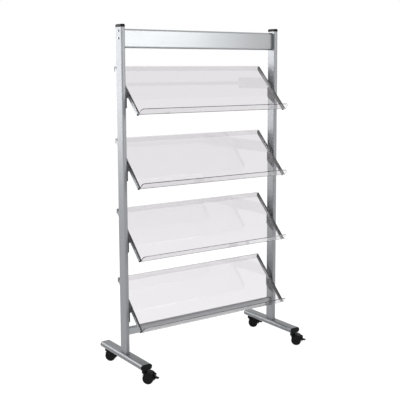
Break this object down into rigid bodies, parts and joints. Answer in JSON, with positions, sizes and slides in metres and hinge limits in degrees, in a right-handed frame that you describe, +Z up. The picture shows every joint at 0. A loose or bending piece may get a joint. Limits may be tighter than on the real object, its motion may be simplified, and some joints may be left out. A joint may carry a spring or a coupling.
{
  "type": "periodical display rack",
  "caption": "Mobile display stand with sloping clear trays between two slim uprights, a header panel on top and braked twin-wheel casters under its feet.",
  "frame": {"origin": "on the floor, midway between the extremes of the whole stand from side to side and from front to rear", "axes": "+Z up, -Y to the front where the lips of the trays are, +X to the right seen from the front"},
  "size_m": [0.9594, 0.4268, 1.6],
  "materials": {
    "anodised_aluminium": "satin",
    "clear_acrylic": "polished",
    "black_plastic": "satin",
    "bracket_grey": "satin",
    "zinc_steel": "satin",
    "wheel_grey": "satin"
  },
  "bodies": {
    "stand": {"upright_left": "anodised_aluminium", "upright_cap_left": "black_plastic", "upright_right": "anodised_aluminium", "upright_cap_right": "black_plastic", "header_panel": "anodised_aluminium", "header_screws": "zinc_steel", "crossbar": "anodised_aluminium", "crossbar_spigots": "black_plastic", "crossbar_screws": "zinc_steel", "foot_left": "anodised_aluminium", "foot_cap_left_front": "black_plastic", "foot_cap_left_rear": "black_plastic", "foot_right": "anodised_aluminium", "foot_cap_right_front": "black_plastic", "foot_cap_right_rear": "black_plastic", "foot_bolts": "zinc_steel", "tray_1": "clear_acrylic", "rail_left_1": "anodised_aluminium", "bracket_left_1": "bracket_grey", "rail_right_1": "anodised_aluminium", "bracket_right_1": "bracket_grey", "tray_2": "clear_acrylic", "rail_left_2": "anodised_aluminium", "bracket_left_2": "bracket_grey", "rail_right_2": "anodised_aluminium", "bracket_right_2": "bracket_grey", "tray_3": "clear_acrylic", "rail_left_3": "anodised_aluminium", "bracket_left_3": "bracket_grey", "rail_right_3": "anodised_aluminium", "bracket_right_3": "bracket_grey", "tray_4": "clear_acrylic", "rail_left_4": "anodised_aluminium", "bracket_left_4": "bracket_grey", "rail_right_4": "anodised_aluminium", "bracket_right_4": "bracket_grey", "rail_end_plugs": "black_plastic", "shelf_screws": "zinc_steel", "caster_stems": "zinc_steel", "caster_nuts": "zinc_steel"},
    "caster_left_front": {"caster_housing_left_front": "black_plastic", "caster_axle_left_front": "zinc_steel"},
    "wheel_a_left_front": {"caster_wheel_a_left_front": "wheel_grey"},
    "wheel_b_left_front": {"caster_wheel_b_left_front": "wheel_grey"},
    "brake_left_front": {"caster_lever_left_front": "black_plastic"},
    "caster_left_rear": {"caster_housing_left_rear": "black_plastic", "caster_axle_left_rear": "zinc_steel"},
    "wheel_a_left_rear": {"caster_wheel_a_left_rear": "wheel_grey"},
    "wheel_b_left_rear": {"caster_wheel_b_left_rear": "wheel_grey"},
    "brake_left_rear": {"caster_lever_left_rear": "black_plastic"},
    "caster_right_front": {"caster_housing_right_front": "black_plastic", "caster_axle_right_front": "zinc_steel"},
    "wheel_a_right_front": {"caster_wheel_a_right_front": "wheel_grey"},
    "wheel_b_right_front": {"caster_wheel_b_right_front": "wheel_grey"},
    "brake_right_front": {"caster_lever_right_front": "black_plastic"},
    "caster_right_rear": {"caster_housing_right_rear": "black_plastic", "caster_axle_right_rear": "zinc_steel"},
    "wheel_a_right_rear": {"caster_wheel_a_right_rear": "wheel_grey"},
    "wheel_b_right_rear": {"caster_wheel_b_right_rear": "wheel_grey"},
    "brake_right_rear": {"caster_lever_right_rear": "black_plastic"}
  },
  "joints": [
    {"name": "swivel_left_front", "type": "hinge", "parent": "stand", "child": "caster_left_front", "pos_m": [-0.4507, -0.1586, 0.05], "axis": [0, 0, 1], "continuous": true},
    {"name": "spin_a_left_front", "type": "hinge", "parent": "caster_left_front", "child": "wheel_a_left_front", "pos_m": [-0.43732, -0.17346, 0.025], "axis": [0.7431, 0.6691, 0], "continuous": true},
    {"name": "spin_b_left_front", "type": "hinge", "parent": "caster_left_front", "child": "wheel_b_left_front", "pos_m": [-0.43732, -0.17346, 0.025], "axis": [0.7431, 0.6691, 0], "continuous": true},
    {"name": "brake_press_left_front", "type": "hinge", "parent": "caster_left_front", "child": "brake_left_front", "pos_m": [-0.41871, -0.19413, 0.03979], "axis": [0.7431, 0.6691, 0], "range_deg": [0, 8]},
    {"name": "swivel_left_rear", "type": "hinge", "parent": "stand", "child": "caster_left_rear", "pos_m": [-0.4507, 0.1934, 0.05], "axis": [0, 0, 1], "continuous": true},
    {"name": "spin_a_left_rear", "type": "hinge", "parent": "caster_left_rear", "child": "wheel_a_left_rear", "pos_m": [-0.43732, 0.17854, 0.025], "axis": [0.7431, 0.6691, 0], "continuous": true},
    {"name": "spin_b_left_rear", "type": "hinge", "parent": "caster_left_rear", "child": "wheel_b_left_rear", "pos_m": [-0.43732, 0.17854, 0.025], "axis": [0.7431, 0.6691, 0], "continuous": true},
    {"name": "brake_press_left_rear", "type": "hinge", "parent": "caster_left_rear", "child": "brake_left_rear", "pos_m": [-0.41871, 0.15787, 0.03979], "axis": [0.7431, 0.6691, 0], "range_deg": [0, 8]},
    {"name": "swivel_right_front", "type": "hinge", "parent": "stand", "child": "caster_right_front", "pos_m": [0.4293, -0.1586, 0.05], "axis": [0, 0, 1], "continuous": true},
    {"name": "spin_a_right_front", "type": "hinge", "parent": "caster_right_front", "child": "wheel_a_right_front", "pos_m": [0.44268, -0.17346, 0.025], "axis": [0.7431, 0.6691, 0], "continuous": true},
    {"name": "spin_b_right_front", "type": "hinge", "parent": "caster_right_front", "child": "wheel_b_right_front", "pos_m": [0.44268, -0.17346, 0.025], "axis": [0.7431, 0.6691, 0], "continuous": true},
    {"name": "brake_press_right_front", "type": "hinge", "parent": "caster_right_front", "child": "brake_right_front", "pos_m": [0.46129, -0.19413, 0.03979], "axis": [0.7431, 0.6691, 0], "range_deg": [0, 8]},
    {"name": "swivel_right_rear", "type": "hinge", "parent": "stand", "child": "caster_right_rear", "pos_m": [0.4293, 0.1934, 0.05], "axis": [0, 0, 1], "continuous": true},
    {"name": "spin_a_right_rear", "type": "hinge", "parent": "caster_right_rear", "child": "wheel_a_right_rear", "pos_m": [0.44268, 0.17854, 0.025], "axis": [0.7431, 0.6691, 0], "continuous": true},
    {"name": "spin_b_right_rear", "type": "hinge", "parent": "caster_right_rear", "child": "wheel_b_right_rear", "pos_m": [0.44268, 0.17854, 0.025], "axis": [0.7431, 0.6691, 0], "continuous": true},
    {"name": "brake_press_right_rear", "type": "hinge", "parent": "caster_right_rear", "child": "brake_right_rear", "pos_m": [0.46129, 0.15787, 0.03979], "axis": [0.7431, 0.6691, 0], "range_deg": [0, 8]}
  ]
}
